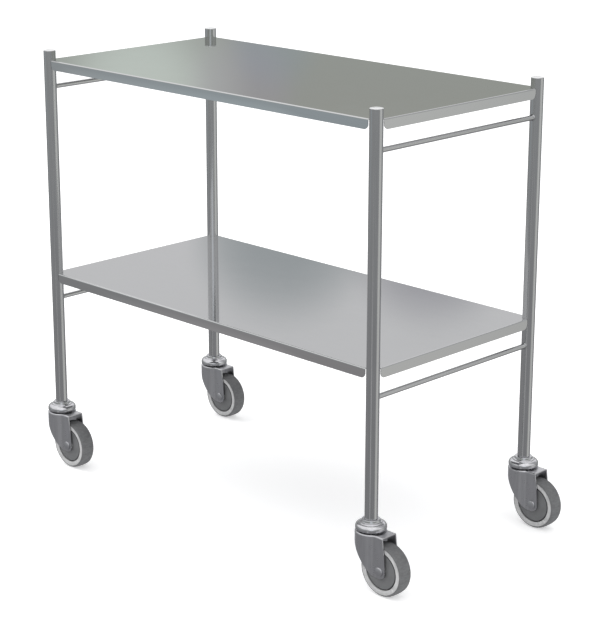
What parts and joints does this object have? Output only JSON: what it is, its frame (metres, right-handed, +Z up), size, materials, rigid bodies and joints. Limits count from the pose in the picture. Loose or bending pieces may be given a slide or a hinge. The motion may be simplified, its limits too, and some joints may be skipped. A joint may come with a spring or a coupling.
{
  "type": "instrument cart",
  "caption": "Steel instrument cart: round tube legs, folded sheet shelves with turned-down edges, thin end rails and free-swivelling trailing casters.",
  "frame": {"origin": "on the floor, at the middle of the outer box with the casters trailing towards +X", "axes": "+X along the shelves' long side, +Y across the cart from front to back, +Z up"},
  "size_m": [1.024, 0.506, 0.897],
  "materials": {
    "leg_steel": "dull polished round tube with fine lengthwise lines",
    "plug_steel": "bright linished disc",
    "shelf_steel": "satin sheet, fine lengthwise grain, softly reflective",
    "rail_steel": "dull polished rod",
    "cover_chrome": "bright plated pressing",
    "fork_steel": "satin plated pressing",
    "zinc_plate": "bright zinc plate",
    "rim_plastic": "light grey moulded plastic",
    "guard_plastic": "dark grey moulded plastic",
    "tyre_rubber": "non-marking grey rubber, smooth tread"
  },
  "bodies": {
    "frame": {"leg_front_left": "leg_steel", "leg_plug_front_left": "plug_steel", "leg_front_right": "leg_steel", "leg_plug_front_right": "plug_steel", "leg_back_left": "leg_steel", "leg_plug_back_left": "plug_steel", "leg_back_right": "leg_steel", "leg_plug_back_right": "plug_steel", "upper_shelf": "shelf_steel", "end_rail_upper_left": "rail_steel", "end_rail_upper_right": "rail_steel", "lower_shelf": "shelf_steel", "end_rail_lower_left": "rail_steel", "end_rail_lower_right": "rail_steel", "king_pin_front_left": "zinc_plate", "expander_sleeve_front_left": "zinc_plate", "race_cover_front_left": "cover_chrome", "king_pin_front_right": "zinc_plate", "expander_sleeve_front_right": "zinc_plate", "race_cover_front_right": "cover_chrome", "king_pin_back_left": "zinc_plate", "expander_sleeve_back_left": "zinc_plate", "race_cover_back_left": "cover_chrome", "king_pin_back_right": "zinc_plate", "expander_sleeve_back_right": "zinc_plate", "race_cover_back_right": "cover_chrome"},
    "swivel_front_left": {"ball_ring_front_left": "zinc_plate", "fork_front_left": "fork_steel", "axle_bolt_front_left": "zinc_plate", "axle_nut_front_left": "zinc_plate"},
    "wheel_front_left": {"wheel_centre_front_left": "rim_plastic", "tyre_front_left": "tyre_rubber", "thread_guard_head_side_front_left": "guard_plastic", "thread_guard_nut_side_front_left": "guard_plastic"},
    "swivel_front_right": {"ball_ring_front_right": "zinc_plate", "fork_front_right": "fork_steel", "axle_bolt_front_right": "zinc_plate", "axle_nut_front_right": "zinc_plate"},
    "wheel_front_right": {"wheel_centre_front_right": "rim_plastic", "tyre_front_right": "tyre_rubber", "thread_guard_head_side_front_right": "guard_plastic", "thread_guard_nut_side_front_right": "guard_plastic"},
    "swivel_back_left": {"ball_ring_back_left": "zinc_plate", "fork_back_left": "fork_steel", "axle_bolt_back_left": "zinc_plate", "axle_nut_back_left": "zinc_plate"},
    "wheel_back_left": {"wheel_centre_back_left": "rim_plastic", "tyre_back_left": "tyre_rubber", "thread_guard_head_side_back_left": "guard_plastic", "thread_guard_nut_side_back_left": "guard_plastic"},
    "swivel_back_right": {"ball_ring_back_right": "zinc_plate", "fork_back_right": "fork_steel", "axle_bolt_back_right": "zinc_plate", "axle_nut_back_right": "zinc_plate"},
    "wheel_back_right": {"wheel_centre_back_right": "rim_plastic", "tyre_back_right": "tyre_rubber", "thread_guard_head_side_back_right": "guard_plastic", "thread_guard_nut_side_back_right": "guard_plastic"}
  },
  "joints": [
    {"name": "swivel_front_left_turn", "type": "hinge", "parent": "frame", "child": "swivel_front_left", "pos_m": [-0.482, -0.223, 0.117], "axis": [0, 0, 1], "continuous": true},
    {"name": "wheel_front_left_roll", "type": "hinge", "parent": "swivel_front_left", "child": "wheel_front_left", "pos_m": [-0.444, -0.223, 0.05], "axis": [0, 1, 0], "continuous": true},
    {"name": "swivel_front_right_turn", "type": "hinge", "parent": "frame", "child": "swivel_front_right", "pos_m": [0.424, -0.223, 0.117], "axis": [0, 0, 1], "continuous": true},
    {"name": "wheel_front_right_roll", "type": "hinge", "parent": "swivel_front_right", "child": "wheel_front_right", "pos_m": [0.462, -0.223, 0.05], "axis": [0, 1, 0], "continuous": true},
    {"name": "swivel_back_left_turn", "type": "hinge", "parent": "frame", "child": "swivel_back_left", "pos_m": [-0.482, 0.223, 0.117], "axis": [0, 0, 1], "continuous": true},
    {"name": "wheel_back_left_roll", "type": "hinge", "parent": "swivel_back_left", "child": "wheel_back_left", "pos_m": [-0.444, 0.223, 0.05], "axis": [0, 1, 0], "continuous": true},
    {"name": "swivel_back_right_turn", "type": "hinge", "parent": "frame", "child": "swivel_back_right", "pos_m": [0.424, 0.223, 0.117], "axis": [0, 0, 1], "continuous": true},
    {"name": "wheel_back_right_roll", "type": "hinge", "parent": "swivel_back_right", "child": "wheel_back_right", "pos_m": [0.462, 0.223, 0.05], "axis": [0, 1, 0], "continuous": true}
  ]
}
